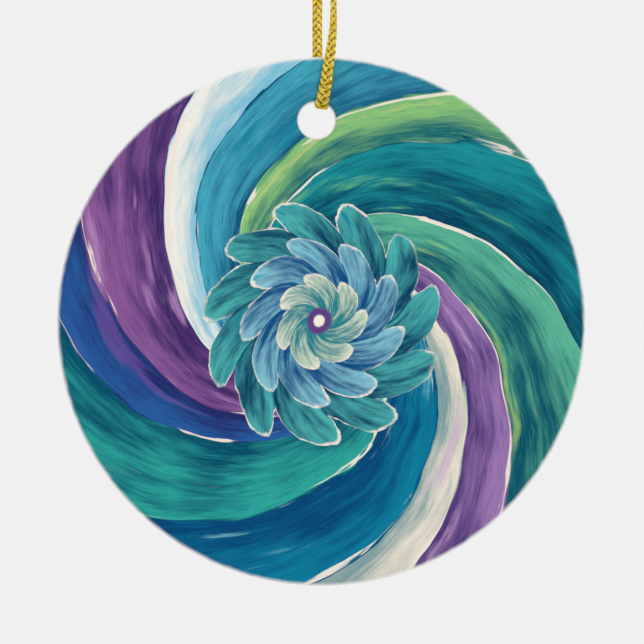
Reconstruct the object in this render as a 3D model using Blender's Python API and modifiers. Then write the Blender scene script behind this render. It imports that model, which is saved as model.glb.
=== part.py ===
"""A round ceramic ornament that hangs in a loop of flat braided gold cord.

Metres, +Z up. The origin is the inner top of the loop, right under the knot, where a
hook holds the ornament. The printed face of the disc looks towards -Y.
"""

import math

import bmesh
import bpy
from mathutils import Matrix, Vector

# Ceramic disc
DISC_DIAMETER = 0.073
DISC_THICKNESS = 0.004
RIM_ROUND = 0.0009
HOLE_DIAMETER = 0.005
HOLE_TO_RIM = 0.0062
MOUTH_ROUND = 0.0009
HANG_TILT = math.radians(1.3)

# Flat braided cord
CORD_WIDTH = 0.00145
CORD_THICKNESS = 0.0009
CORD_CLEARANCE = 0.0003
MOUTH_BEND = 0.0018
LOOP_DROP = 0.045
SIDE_BY_SIDE_GAP = 0.0003

# Knot and tails
KNOT_CLEARANCE = 0.0004
TAIL_LENGTH = 0.0065
TAIL_SPREAD = 0.0021

# How finely the round forms are cut into facets
DISC_STEPS = 128
HOLE_STEPS = 48
ROUND_STEPS = 4
SECTION_SIDES = 12
TUBE_RESOLUTION = 2
RUN_STEP = 2 * CORD_WIDTH
BEND_STEP = 0.45 * CORD_WIDTH
KNOT_STEPS = 3

# The front and the rear run of the loop: how far to the right, and how far up from the
# bend in the hole to the knot, as a share of that way.
FRONT_RUN = [
    (0.00033, 0.000),
    (0.00052, 0.020),
    (0.00070, 0.045),
    (0.00089, 0.080),
    (0.00113, 0.115),
    (0.00134, 0.150),
    (0.00154, 0.190),
    (0.00167, 0.235),
    (0.00169, 0.300),
    (0.00150, 0.410),
    (0.00112, 0.545),
    (0.00066, 0.690),
    (0.00028, 0.835),
    (0.00006, 0.950),
]
REAR_RUN = [
    (-0.00014, 0.000),
    (-0.00024, 0.025),
    (-0.00038, 0.060),
    (-0.00050, 0.115),
    (-0.00054, 0.200),
    (-0.00053, 0.300),
    (-0.00047, 0.430),
    (-0.00034, 0.590),
    (-0.00018, 0.760),
    (-0.00005, 0.920),
]
# Up to this share of the way both runs stay clear of the swinging disc. Above it they
# draw together.
PARALLEL_SHARE = 0.281
# In the hole the broad side lies flat on the wall. From there the rear run turns square
# to the front, and the front run turns half round on itself: share of the way up, and
# degrees from square.
REAR_TWIST = [(0.10, 0.0)]
FRONT_TWIST = [
    (0.08, 12.0),
    (0.14, 18.0),
    (0.19, 45.0),
    (0.25, 72.0),
    (0.32, 88.0),
    (0.55, 110.0),
    (0.85, 180.0),
]

# Half of an overhand knot drawn snug, from below, in pitches of the doubled cord. The
# other half is the same turned half round the X axis.
HALF_KNOT = [
    (0.00, 0.00, -1.80),
    (0.02, 0.05, -1.30),
    (0.00, 0.25, -0.75),
    (-0.22, 0.46, -0.28),
    (-0.58, 0.48, 0.14),
    (-0.90, 0.22, 0.52),
    (-0.98, -0.24, 0.86),
    (-0.78, -0.70, 1.07),
    (-0.36, -1.06, 1.10),
    (0.14, -1.20, 0.96),
    (0.62, -1.06, 0.70),
    (0.90, -0.68, 0.40),
    (0.98, -0.22, 0.13),
]

# Sizes that follow from the ones above
DISC_RADIUS = DISC_DIAMETER / 2
HOLE_RADIUS = HOLE_DIAMETER / 2
HOLE_OFFSET = DISC_RADIUS - HOLE_TO_RIM - HOLE_RADIUS
HOLE_SIDEWAYS = HOLE_OFFSET * math.sin(HANG_TILT)
HOLE_HEIGHT = HOLE_OFFSET * math.cos(HANG_TILT)
MEETING_DEPTH = (CORD_THICKNESS + SIDE_BY_SIDE_GAP) / 2
RUN_HEIGHT = LOOP_DROP - MOUTH_BEND
PAIR_DIAMETER = math.sqrt(2 * CORD_WIDTH * CORD_THICKNESS)
TAIL_DIAMETER = math.sqrt(CORD_WIDTH * CORD_THICKNESS)
KNOT_PITCH = PAIR_DIAMETER + KNOT_CLEARANCE
KNOT_HALF_HEIGHT = -HALF_KNOT[0][2] * KNOT_PITCH
OVERSHOOT = DISC_THICKNESS / 2
PRINT_RUNS_OUT = math.cos(math.radians(50))

GLAZE = (0.90, 0.90, 0.88)
PRINT = (0.10, 0.42, 0.46)
GOLD = (0.72, 0.50, 0.10)


def clear_scene():
    for obj in list(bpy.data.objects):
        bpy.data.objects.remove(obj, do_unlink=True)


def new_collection(name):
    collection = bpy.data.collections.new(name)
    bpy.context.scene.collection.children.link(collection)
    return collection


def new_material(name, colour, roughness, metallic=0.0):
    material = bpy.data.materials.new(name)
    material.use_nodes = True
    shader = material.node_tree.nodes["Principled BSDF"]
    shader.inputs["Base Color"].default_value = (*colour, 1.0)
    shader.inputs["Roughness"].default_value = roughness
    shader.inputs["Metallic"].default_value = metallic
    material.diffuse_color = (*colour, 1.0)
    return material


def add_object(name, data, collection):
    obj = bpy.data.objects.new(name, data)
    collection.objects.link(obj)
    return obj


def mark_as_guide(obj):
    obj.hide_render = True
    obj.display_type = "WIRE"


def quarter_round(centre, radius, start, end, steps):
    """Points of an arc in the profile plane, angles in degrees from +X towards +Z."""
    points = []
    for i in range(steps + 1):
        angle = math.radians(start + (end - start) * i / steps)
        points.append((centre[0] + radius * math.cos(angle), centre[1] + radius * math.sin(angle)))
    return points


def turned_shape(name, profile, steps, collection):
    """Turns a profile of (radius, height) points, top to bottom, round the Z axis."""
    mesh = bpy.data.meshes.new(name)
    verts = [(radius, 0.0, height) for radius, height in profile]
    edges = [(i, i + 1) for i in range(len(profile) - 1)]
    mesh.from_pydata(verts, edges, [])
    obj = add_object(name, mesh, collection)
    screw = obj.modifiers.new("turn", "SCREW")
    screw.angle = 2 * math.pi
    screw.steps = steps
    screw.render_steps = steps
    screw.use_merge_vertices = True
    screw.merge_threshold = 0.00001
    return obj


def disc_profile():
    """From the middle of one face, round the rim, to the middle of the other."""
    half = DISC_THICKNESS / 2
    inner = DISC_RADIUS - RIM_ROUND
    upper = quarter_round((inner, half - RIM_ROUND), RIM_ROUND, 90, 0, ROUND_STEPS)
    lower = quarter_round((inner, RIM_ROUND - half), RIM_ROUND, 0, -90, ROUND_STEPS)
    return [(0.0, half), *upper, *lower, (0.0, -half)]


def hole_profile():
    """A straight bore whose two mouths open out in a round, past both faces."""
    half = DISC_THICKNESS / 2
    outer = HOLE_RADIUS + MOUTH_ROUND
    steepest = 12
    upper = quarter_round((outer, half - MOUTH_ROUND), MOUTH_ROUND, 90 + steepest, 180, ROUND_STEPS)
    lower = quarter_round((outer, MOUTH_ROUND - half), MOUTH_ROUND, 180, 270 - steepest, ROUND_STEPS)
    run_out = OVERSHOOT / math.tan(math.radians(steepest))
    top = (upper[0][0] + run_out, upper[0][1] + OVERSHOOT)
    bottom = (lower[-1][0] + run_out, lower[-1][1] - OVERSHOOT)
    return [(0.0, top[1]), top, *upper, *lower, bottom, (0.0, bottom[1])]


def bend_over_hole():
    """Height of the cord's middle in the bore above the bore's middle, as it hangs.

    The middle of the cord is right above the middle of the disc. The bore hangs to the
    left of it, so the cord rests on the wall a little to the right of the wall's top.
    """
    from_wall = CORD_CLEARANCE + CORD_THICKNESS / 2
    return math.sqrt((HOLE_RADIUS - from_wall) ** 2 - HOLE_SIDEWAYS**2)


def make_disc(collection, guides, glaze, printed):
    """The disc hangs from the cord's bend, with its middle right below it."""
    pivot = bpy.data.objects.new("disc_pivot", None)
    collection.objects.link(pivot)
    pivot.location = (0.0, 0.0, -LOOP_DROP)

    disc = turned_shape("ceramic_disc", disc_profile(), DISC_STEPS, collection)
    disc.parent = pivot
    disc.location = (0.0, 0.0, -HOLE_HEIGHT - bend_over_hole())
    # The turned shape's axis lies along Y, and its +Z side becomes the front.
    disc.rotation_euler = (math.radians(90), -HANG_TILT, 0.0)
    disc.rotation_mode = "XYZ"

    cutter = turned_shape("hole_cutter", hole_profile(), HOLE_STEPS, guides)
    cutter.parent = disc
    cutter.location = (0.0, HOLE_OFFSET, 0.0)
    mark_as_guide(cutter)

    cut = disc.modifiers.new("hole", "BOOLEAN")
    cut.operation = "DIFFERENCE"
    cut.solver = "EXACT"
    cut.object = cutter

    disc.data.materials.append(glaze)
    print_on_front(disc, printed)
    return disc


def print_on_front(disc, printed):
    """The print covers the front and runs out where its round edges turn away."""
    graph = bpy.context.evaluated_depsgraph_get()
    disc.data = bpy.data.meshes.new_from_object(disc.evaluated_get(graph))
    disc.modifiers.clear()
    disc.data.materials.append(printed)
    for face in disc.data.polygons:
        if face.normal.z > PRINT_RUNS_OUT:
            face.material_index = 1


def smooth_route(keys, steps):
    """Points of one smooth curve through the keys, with so many steps for each stretch."""
    points = [keys[0]]
    last = len(keys) - 1
    for i in range(last):
        a = keys[max(i - 1, 0)]
        b, c = keys[i], keys[i + 1]
        d = keys[min(i + 2, last)]
        for k in range(1, steps[i] + 1):
            t = k / steps[i]
            point = (
                2 * b
                + (c - a) * t
                + (2 * a - 5 * b + 4 * c - d) * t**2
                + (3 * b - a - 3 * c + d) * t**3
            )
            points.append(point / 2)
    return points


def steps_between(keys, step):
    return [max(1, math.ceil((b - a).length / step)) for a, b in zip(keys, keys[1:])]


def value_at(table, where):
    """A value read from a table of (place, value) pairs, level past both its ends."""
    if where <= table[0][0]:
        return table[0][1]
    for (low, before), (high, after) in zip(table, table[1:]):
        if where <= high:
            share = (where - low) / (high - low)
            ease = share * share * (3 - 2 * share)
            return before + (after - before) * ease
    return table[-1][1]


def way_up(height):
    """Share of the way from the bend's end to the knot, below 0 in the bend."""
    return (height - MOUTH_BEND) / RUN_HEIGHT


def turn_at(height, side):
    """How far the broad side is turned away from the front, in radians."""
    on_wall = math.degrees(math.atan2(HOLE_SIDEWAYS, bend_over_hole()))
    rest = REAR_TWIST if side > 0 else FRONT_TWIST
    return math.radians(value_at([(0.0, on_wall), *rest], way_up(height)))


def beside_disc(turn):
    """Distance from the middle plane at which the turned braid just clears the disc."""
    reach = math.hypot(CORD_THICKNESS * math.cos(turn), CORD_WIDTH * math.sin(turn)) / 2
    return DISC_THICKNESS / 2 + CORD_CLEARANCE + reach


def run_depth(height, side):
    """Distance of a run from the middle plane: beside the disc, then drawing together."""
    beside = beside_disc(turn_at(height, side))
    drawing = [(PARALLEL_SHARE, beside), (1.0, MEETING_DEPTH)]
    return value_at(drawing, way_up(height))


def run_keys(run, side):
    """The route's points of one run, from the bend up to the knot. Side -1 is the front."""
    keys = []
    for sideways, share in run:
        height = MOUTH_BEND + share * RUN_HEIGHT
        keys.append(Vector((sideways, side * run_depth(height, side), height)))
    keys.append(Vector((0.0, side * MEETING_DEPTH, LOOP_DROP - CORD_CLEARANCE)))
    return keys


def bend_keys():
    """The bend through the hole, between the two runs, leaning over to meet each."""
    corner = beside_disc(turn_at(0.0, 0)) - MOUTH_BEND
    keys = []
    for side, run in ((-1, FRONT_RUN), (1, REAR_RUN)):
        part = []
        for degrees in (30, 60, 90):
            angle = math.radians(degrees)
            lift = 1 - math.sin(angle)
            depth = corner + MOUTH_BEND * math.cos(angle)
            part.append(Vector((run[0][0] * lift, side * depth, MOUTH_BEND * lift)))
        keys += part if side < 0 else reversed(part)
    return keys


def cord_route():
    """Points and turns of the cord: down the front, through the hole and up the back."""
    front = run_keys(FRONT_RUN, -1)
    front.reverse()
    bend = bend_keys()
    rear = run_keys(REAR_RUN, 1)
    keys = front + bend + rear
    first = len(front) - 1
    final = first + len(bend)
    steps = steps_between(keys, RUN_STEP)
    fine = steps_between(keys, BEND_STEP)
    steps[first : final + 1] = fine[first : final + 1]
    points = smooth_route(keys, steps)
    return points, [turn_at(point.z, point.y) for point in points]


def poly_curve(name, points, collection, turns=None):
    curve = bpy.data.curves.new(name, "CURVE")
    curve.dimensions = "3D"
    curve.use_fill_caps = True
    spline = curve.splines.new("POLY")
    spline.points.add(len(points) - 1)
    for i, point in enumerate(points):
        spline.points[i].co = (*point, 1.0)
        if turns:
            spline.points[i].tilt = turns[i]
    return add_object(name, curve, collection)


def section_guide(guides):
    """The flat braid's section: an oval, wide along its own Y."""
    curve = bpy.data.curves.new("cord_section", "CURVE")
    curve.dimensions = "2D"
    curve.fill_mode = "NONE"
    spline = curve.splines.new("POLY")
    spline.points.add(SECTION_SIDES - 1)
    spline.use_cyclic_u = True
    for i in range(SECTION_SIDES):
        angle = -2 * math.pi * (i + 0.5) / SECTION_SIDES
        across = CORD_THICKNESS / 2 * math.cos(angle)
        along = CORD_WIDTH / 2 * math.sin(angle)
        spline.points[i].co = (across, along, 0.0, 1.0)
    guide = add_object("cord_section", curve, guides)
    mark_as_guide(guide)
    return guide


def to_mesh_object(curve_object, collection):
    """Replaces a curve object by a mesh object of the same name, with its caps welded."""
    name = curve_object.name
    matrix = curve_object.matrix_world.copy()
    graph = bpy.context.evaluated_depsgraph_get()
    mesh = bpy.data.meshes.new_from_object(curve_object.evaluated_get(graph))
    bpy.data.objects.remove(curve_object, do_unlink=True)
    work = bmesh.new()
    work.from_mesh(mesh)
    bmesh.ops.remove_doubles(work, verts=work.verts, dist=0.000001)
    work.to_mesh(mesh)
    work.free()
    mesh.name = name
    obj = add_object(name, mesh, collection)
    obj.matrix_world = matrix
    return obj


def make_cord(collection, guides, gold):
    """One flat braid, lying with its broad side to the front where it isn't turned.

    The curve is drawn on its side, with its own Z along the world's X, so that its
    section keeps its broad side along X all the way round the bend.
    """
    points, turns = cord_route()
    drop = Vector((0.0, 0.0, LOOP_DROP))
    on_side = Matrix.Rotation(math.radians(90), 4, "Y")
    to_local = on_side.inverted()
    local = [to_local @ (point - drop) for point in points]
    cord = poly_curve("hanging_cord", local, collection, turns)
    cord.matrix_world = on_side
    cord.data.twist_mode = "Z_UP"
    cord.data.bevel_mode = "OBJECT"
    cord.data.bevel_object = section_guide(guides)
    cord.data.materials.append(gold)
    return cord


def knot_keys():
    """The doubled cord's route through the knot, from below, about the knot's middle."""
    half = [Vector(point) * KNOT_PITCH for point in HALF_KNOT]
    turned = [Vector((p.x, -p.y, -p.z)) for p in reversed(half)]
    return half + turned


def tail_keys(side):
    """A cord end's route out of the knot, about the knot's middle. Side is -1 or +1."""
    start = KNOT_HALF_HEIGHT - TAIL_DIAMETER
    beside = side * (PAIR_DIAMETER - TAIL_DIAMETER) / 2
    return [
        Vector((beside, 0.0, start)),
        Vector((beside, 0.0, start + TAIL_DIAMETER * 0.6)),
        Vector((side * TAIL_SPREAD * 0.55, side * TAIL_SPREAD * 0.1, start + TAIL_LENGTH * 0.50)),
        Vector((side * TAIL_SPREAD * 0.90, side * TAIL_SPREAD * 0.3, start + TAIL_LENGTH * 0.80)),
        Vector((side * TAIL_SPREAD, side * TAIL_SPREAD * 0.4, start + TAIL_LENGTH)),
    ]


def round_tube(name, points, diameter, collection):
    tube = poly_curve(name, points, collection)
    tube.data.bevel_depth = diameter / 2
    tube.data.bevel_resolution = TUBE_RESOLUTION
    tube.data.twist_mode = "MINIMUM"
    bpy.context.view_layer.update()
    return to_mesh_object(tube, collection)


def least_gap(points, diameter):
    """Least clearance between stretches of a tube that lie more than a bend apart."""
    reach = 1.8 * diameter
    travelled = [0.0]
    for a, b in zip(points, points[1:]):
        travelled.append(travelled[-1] + (b - a).length)
    gaps = []
    for i, a in enumerate(points):
        for j in range(i + 1, len(points)):
            if travelled[j] - travelled[i] > reach:
                gaps.append((a - points[j]).length - diameter)
    return min(gaps)


def make_knot(collection, guides, gold):
    """An overhand knot in the doubled cord, with the two cut ends above it."""
    keys = knot_keys()
    points = smooth_route(keys, [KNOT_STEPS] * (len(keys) - 1))
    print("least gap in the knot, mm:", round(least_gap(points, PAIR_DIAMETER) * 1000, 3))
    knot = round_tube("cord_knot", points, PAIR_DIAMETER, collection)
    knot.location = (0.0, 0.0, KNOT_HALF_HEIGHT)
    for side, name in ((-1, "left_tail"), (1, "right_tail")):
        tail_points = smooth_route(tail_keys(side), [2, 2, 2, 2])
        tail = round_tube(name, tail_points, TAIL_DIAMETER, guides)
        tail.location = knot.location
        mark_as_guide(tail)
        joined = knot.modifiers.new(name, "BOOLEAN")
        joined.operation = "UNION"
        joined.solver = "EXACT"
        joined.object = tail
    knot.data.materials.append(gold)
    return knot


def shade_round(obj, degrees):
    obj.data.shade_smooth()
    obj.data.set_sharp_from_angle(angle=math.radians(degrees))


def main():
    clear_scene()
    ornament = new_collection("ceramic_ornament")
    guides = new_collection("cutters")
    glaze = new_material("white_glaze", GLAZE, 0.25)
    printed = new_material("printed_face", PRINT, 0.35)
    gold = new_material("gold_braid", GOLD, 0.42, 0.85)
    disc = make_disc(ornament, guides, glaze, printed)
    make_cord(ornament, guides, gold)
    knot = make_knot(ornament, guides, gold)
    for obj in (disc, knot):
        shade_round(obj, 30)


main()
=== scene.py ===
"""Looks of a round ceramic ornament that hangs in a loop of flat braided gold cord.

Metres, +Z up, the printed front looks towards -Y. The camera and the cord come first,
then the glazed disc, the materials, the floor and the light.
"""

import math

import bpy
import numpy as np
from mathutils import Matrix, Vector


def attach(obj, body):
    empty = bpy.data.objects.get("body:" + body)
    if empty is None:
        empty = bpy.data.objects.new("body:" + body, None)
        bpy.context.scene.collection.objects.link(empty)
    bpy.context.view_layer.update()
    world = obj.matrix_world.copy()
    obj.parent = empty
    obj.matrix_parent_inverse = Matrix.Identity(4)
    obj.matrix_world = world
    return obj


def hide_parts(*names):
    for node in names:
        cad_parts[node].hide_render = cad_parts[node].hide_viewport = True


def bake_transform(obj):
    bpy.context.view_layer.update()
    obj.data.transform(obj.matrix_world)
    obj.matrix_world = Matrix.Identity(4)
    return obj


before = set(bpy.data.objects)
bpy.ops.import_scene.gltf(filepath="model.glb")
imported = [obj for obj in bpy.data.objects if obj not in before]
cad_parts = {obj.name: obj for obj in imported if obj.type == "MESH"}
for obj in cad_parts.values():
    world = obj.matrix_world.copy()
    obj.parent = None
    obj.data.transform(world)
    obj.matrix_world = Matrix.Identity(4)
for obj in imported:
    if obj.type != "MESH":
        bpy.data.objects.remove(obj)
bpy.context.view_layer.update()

MM = 0.001

# The photograph's frame: the disc's middle in pixels, and the size of a pixel there.
PHOTO_SIDE = 644
DISC_MIDDLE_PX = (321.2, 321.5)
PIXEL = 0.00013826
CAMERA_AWAY = 0.9
SENSOR = 36.0

# Ceramic disc
DISC_RADIUS = 0.0365
HALF_THICKNESS = 0.002
RIM_ROUND = 0.0009
HOLE_RADIUS = 0.0025
HOLE_OFFSET = 0.0278
MOUTH_ROUND = 0.0009
HANG_TILT = math.radians(1.3)
DISC_CENTRE = -0.074425

# Cord loop, as in the CAD source
CORD_WIDTH = 0.00145
CORD_THICKNESS = 0.0009
CORD_CLEARANCE = 0.0003
MOUTH_BEND = 0.0018
LOOP_DROP = 0.045
SIDE_BY_SIDE_GAP = 0.0003
RUN_HEIGHT = LOOP_DROP - MOUTH_BEND
MEETING_DEPTH = (CORD_THICKNESS + SIDE_BY_SIDE_GAP) / 2
FRONT_RUN = [
    (0.00033, 0.000), (0.00052, 0.020), (0.00070, 0.045), (0.00089, 0.080), (0.00113, 0.115),
    (0.00134, 0.150), (0.00154, 0.190), (0.00167, 0.235), (0.00169, 0.300), (0.00150, 0.410),
    (0.00112, 0.545), (0.00066, 0.690), (0.00028, 0.835), (0.00006, 0.950),
]
REAR_RUN = [
    (-0.00014, 0.000), (-0.00024, 0.025), (-0.00038, 0.060), (-0.00050, 0.115), (-0.00054, 0.200),
    (-0.00053, 0.300), (-0.00047, 0.430), (-0.00034, 0.590), (-0.00018, 0.760), (-0.00005, 0.920),
]
PARALLEL_SHARE = 0.281
REAR_TWIST = [(0.10, 0.0)]
FRONT_TWIST = [
    (0.08, 12.0), (0.14, 18.0), (0.19, 45.0), (0.25, 72.0), (0.32, 88.0), (0.55, 110.0), (0.85, 180.0),
]

# Overhand knot of the doubled cord and its two tails, as in the CAD source
KNOT_PITCH = math.sqrt(2 * CORD_WIDTH * CORD_THICKNESS) + 0.0004
TAIL_LENGTH = 0.0065
TAIL_SPREAD = 0.0021
HALF_KNOT = [
    (0.00, 0.00, -1.80), (0.02, 0.05, -1.30), (0.00, 0.25, -0.75), (-0.22, 0.46, -0.28),
    (-0.58, 0.48, 0.14), (-0.90, 0.22, 0.52), (-0.98, -0.24, 0.86), (-0.78, -0.70, 1.07),
    (-0.36, -1.06, 1.10), (0.14, -1.20, 0.96), (0.62, -1.06, 0.70), (0.90, -0.68, 0.40),
    (0.98, -0.22, 0.13),
]
KNOT_HALF_HEIGHT = -HALF_KNOT[0][2] * KNOT_PITCH
KNOT_SQUEEZE = 0.86
CLOSES_OVER = 4 * MM
SQUEEZED_FROM = 0.5 * MM
SQUEEZED_OVER = 3 * MM
TAIL_FREE = 4 * MM
# A tail's way up: shares of its spread to the side and to the back, and of its length
TAIL_WAY = ((0.55, 0.1, 0.50), (0.90, 0.3, 0.80), (1.0, 0.4, 1.0))

# How finely the cord's route is laid out between its points, and how often it is smoothed
LOOP_STEPS = 24
KNOT_STEPS = 16
TAIL_STEPS = 10
SMOOTHINGS = 4

# The soft braid gives where the disc hangs in it: it lies closer on the ceramic than the
# plain solid of the CAD model, is flatter and broader there, and lies part of the way along
# the slope of the hole's wall.
SEATED_IN_HOLE = 0.49 * MM
SEATED_ON_FACE = 0.50 * MM
SEAT_REACH = 7 * MM
FLAT_REACH = 1.4 * SEAT_REACH
BROADER = 0.36
FLATTER = 0.28
LIES_ALONG = 0.45

# The braid: strands each way round, threads side by side in each, and how many crossings
# a strand stays on top. A thread's spacing is a share of the way round the braid, its waves
# are in millimetres, and cuts are in rings from the cord's tip.
STRANDS = 4
THREADS = 3
STAYS_OVER = 2
BRAID_PITCH = 1.01 * MM
THREAD_WIDTH = 0.21 * MM
THREAD_HEIGHT = 0.125 * MM
THREAD_SPACING = 0.073
STRAND_CROWN = 0.048 * MM
WEAVE_DEPTH = 0.068 * MM
WEAVE_STEEPNESS = 2.2
THREAD_SIDES = 5
THREAD_DRIFT = 0.007
THREAD_LIFT = 0.009 * MM
THREAD_CUTS = (0, 5)
DRIFT_WAVES = (1.3, 2.3, 3.7)
# Painted shade on a strand's outer threads and on each thread's underside
STRAND_SHADE = 0.42
UNDERSIDE_SHADE = 0.3
CORE_YARNS = 5
CORE_SIDES = 6
CORE_STEP = 3
CORE_SWELL = 1.3
CORE_ROUND = 0.7
CORE_CUTS = (2, 6)
RING_STEP = 0.125 * MM
OVAL_STEPS = 721
YARN_SEED = 11
LAY = STRANDS * BRAID_PITCH
LAYER_REACH = WEAVE_DEPTH / 2 + THREAD_HEIGHT / 2
BRAID_TURN = 0.0625
SPLAY = 0.55
SPLAY_LENGTH = 1.6 * MM

# How finely the disc is cut: round the disc, over a face and over a rounded edge
DISC_STEPS = 480
FACE_STEPS = 60
FACE_CROWDING = 1.3
ROUND_STEPS = 7

# The bake map of a braid: each thread as strips, with its two ends beside them. Start and
# length are shares of the map, top and height shares of a strip.
TUBE_STRIPS = 2
STRIP_START = 0.01
STRIP_LENGTH = 0.96
STRIP_TOP = 0.97
STRIP_HEIGHT = 0.94
END_PLACES = (0.98, 0.99)
END_SIZE = (0.003, 0.4)

# The bake map of the disc: middle and radius of both faces, and the bands on which the rim
# and the bore lie unrolled
FRONT_PLACE = (0.41, 0.41, 0.4)
BACK_PLACE = (0.905, 0.12, 0.08)
BAND_START = 0.02
BAND_LENGTH = 0.8
BAND_HEIGHT = 0.02
RIM_BAND = 0.86
BORE_BAND = 0.94

# Floor and background
FLOOR_SIDES = 96
FLOOR_RADIUS = 2.6
FLOOR_HEIGHT = -0.33
FLOOR_DARKER = (0.86, 0.86, 0.86)
FLOOR_LIGHTER = (0.88, 0.88, 0.88)
FLOOR_ROUGHNESS = 0.9
PALE = 0.871
AROUND_LEVEL = 0.85

# Where each lamp shines from, its strength and its size in degrees
KEY_LAMP = ((0.6, -1.0, 0.7), 0.75, 7)
FILL_LAMP = ((-0.8, 0.9, 0.6), 0.35, 50)

# Gold of the braid, from its foil tones and painted glints to the painted shade of its yarn
GOLD_FOIL_GLINTS = [
    (0.32, (0.44, 0.22, 0.0)),
    (0.39, (0.96, 0.54, 0.005)),
    (0.47, (1.0, 0.74, 0.045)),
    (0.57, (1.0, 0.92, 0.32)),
]
GOLD_WARM = (0.68, 0.30, 0.008)
GOLD_PAINTED_SHADE = (0.20, 0.09, 0.0)
GOLD_EDGE = (0.95, 0.68, 0.12)
FILLING_DARK = (0.05, 0.03, 0.0)
FILLING_LIGHT = (0.15, 0.09, 0.002)

# Marks on the gold yarn, its foil tones and painted glints: their slant, how many lie in a
# millimetre, and how the warm colour and the painted shade come in
FOIL_SLANT = 0.35
FOIL_MARKS = 2.9
WARM_MARKS = 0.8
WARM_COVER = (0.5, 0.75, 0.0, 0.35)
PAINTED_SHADE_COVER = (0.2, 1.05, 0.0, 0.95)
GOLD_ROUGHNESS = (0.3, 0.7, 0.40, 0.22)
GOLD_METALLIC = 0.7
GOLD_SPECULAR = 0.05
FILLING_ROUGHNESS = 0.75
FILLING_SPECULAR = 0.1

# White glaze
GLAZE_COOL = (0.84, 0.85, 0.85)
GLAZE_WARM = (0.87, 0.865, 0.85)
GLAZE_SPECK = (0.60, 0.58, 0.54)
GLAZE_RIPPLE = 0.00005
BRUSH_RELIEF = 0.000006
BUMP_STRENGTH = 0.6
GLAZE_ROUGHNESS = 0.20
CLOUDS_ROUGHEN = 0.10
PRINT_ROUGHENS = 0.12
PRINT_SPECULAR = 0.04

# Noise scales
SLOW_NOISE = 85.0
RIM_NOISE = 700.0
CLOUD_NOISE = 160.0
PORE_NOISE = 2600.0
RIPPLE_NOISE = 140.0
FILLING_NOISE = 9000.0
FLOOR_NOISE = 3.0

# Where the print runs out: from full to none over the rim, from none to full round the
# hole, and as it goes back over an edge
RIM_PRINT = (DISC_RADIUS - 0.0006, DISC_RADIUS + 0.0001)
HOLE_PRINT = (0.0025, 0.0028)
EDGE_PRINT = (-0.0010, -0.0014)
RIM_GRAIN = 0.0003

# Slow drift that makes the painted shapes uneven, and its mean, which is taken off again
DRIFT_SCALE = 42.0
DRIFT_REACH = 0.0045
DRIFT_MEAN = 0.0023

# Brush strokes: noise across the sweep, noise along it, and a seed
ARM_BROAD = (4.5, 1.8, 3.0)
ARM_DABS = (9.0, 4.6, 7.0)
ARM_FINE = (42.0, 9.0, 1.0)
ARM_BRISTLES = (115.0, 20.0, 14.0)
ARM_PATCH = (3.6, 2.4, 20.0)
ARM_GLOW = (5.5, 3.2, 31.0)
ARM_LINE = (2.6, 2.4, 40.0)
ARM_DEEP = (5.0, 2.6, 62.0)
PETAL_FINE = (36.0, 7.0, 20.0)
PETAL_STREAK = (9.5, 3.2, 50.0)
PETAL_DAB = (5.0, 3.0, 80.0)
ARM_SWEEP = 0.27
SWEEP_CORE = 0.06
STROKE_CORE = 0.03

# Paint over paint: the thickness at which it starts to show, the one at which it is full,
# and how much it then covers
ARM_ODD = (0.10, 0.24, 0.75)
GLOW_COVER = (0.17, 0.38, 0.6)
SHADE_COVER = (0.14, 0.30, 0.6)
LIGHT_BRISTLES = (0.52, 0.72, 0.34)
DARK_BRISTLES = (0.48, 0.30, 0.45)
CREAM_LINE = (0.0, 0.12, 0.93)
PETAL_ODD = (0.12, 0.34, 0.8)
PETAL_CREASE = (0.90, 1.0, 0.8)
GLAZE_PORES = (0.74, 0.80, 0.35)

# Where an arm and a petal turn from shaded to lit, an arm's edge before and after its end,
# the shape and the cream edge of a petal, and the eye's edge and spot
ARM_LIT = (-0.15, 1.05)
PETAL_LIT = (-0.05, 1.0)
ARM_EDGE = (0.013, 0.0006, 0.003)
PETAL_POWER = 2.4
PETAL_ROUND = 0.24
PETAL_EDGE = (-0.002, 0.002)
PETAL_CREAM = (0.0125, 0.004)
CREAM_THICKNESS = (0.36, 0.60, 0.2, 0.95)
EYE_EDGE = (0.062, 0.052)
EYE_SPOT = (0.034, 0.028)


def paint(red, green, blue):
    """A paint's colour from its screen values, 0 to 255."""
    shares = [value / 255 for value in (red, green, blue)]
    return tuple(s / 12.92 if s < 0.04045 else ((s + 0.055) / 1.055) ** 2.4 for s in shares)


# The arms of the printed pinwheel: share of a turn, shaded side, lit side, odd strokes.
ARMS = [
    (0.125, paint(0, 60, 88), paint(24, 140, 146), paint(104, 178, 122)),
    (0.060, paint(0, 98, 108), paint(132, 188, 116), paint(190, 202, 130)),
    (0.100, paint(0, 66, 110), paint(66, 164, 186), paint(0, 118, 146)),
    (0.060, paint(120, 186, 208), paint(234, 232, 222), paint(168, 206, 216)),
    (0.105, paint(52, 34, 94), paint(134, 86, 146), paint(174, 130, 182)),
    (0.065, paint(32, 38, 98), paint(36, 90, 156), paint(100, 72, 144)),
    (0.135, paint(0, 72, 100), paint(44, 164, 152), paint(0, 112, 138)),
    (0.110, paint(0, 64, 112), paint(8, 122, 152), paint(134, 194, 202)),
    (0.060, paint(116, 150, 152), paint(228, 218, 202), paint(196, 170, 196)),
    (0.070, paint(68, 46, 110), paint(150, 114, 170), paint(196, 160, 196)),
    (0.110, paint(0, 80, 98), paint(88, 176, 146), paint(152, 190, 104)),
]

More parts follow.
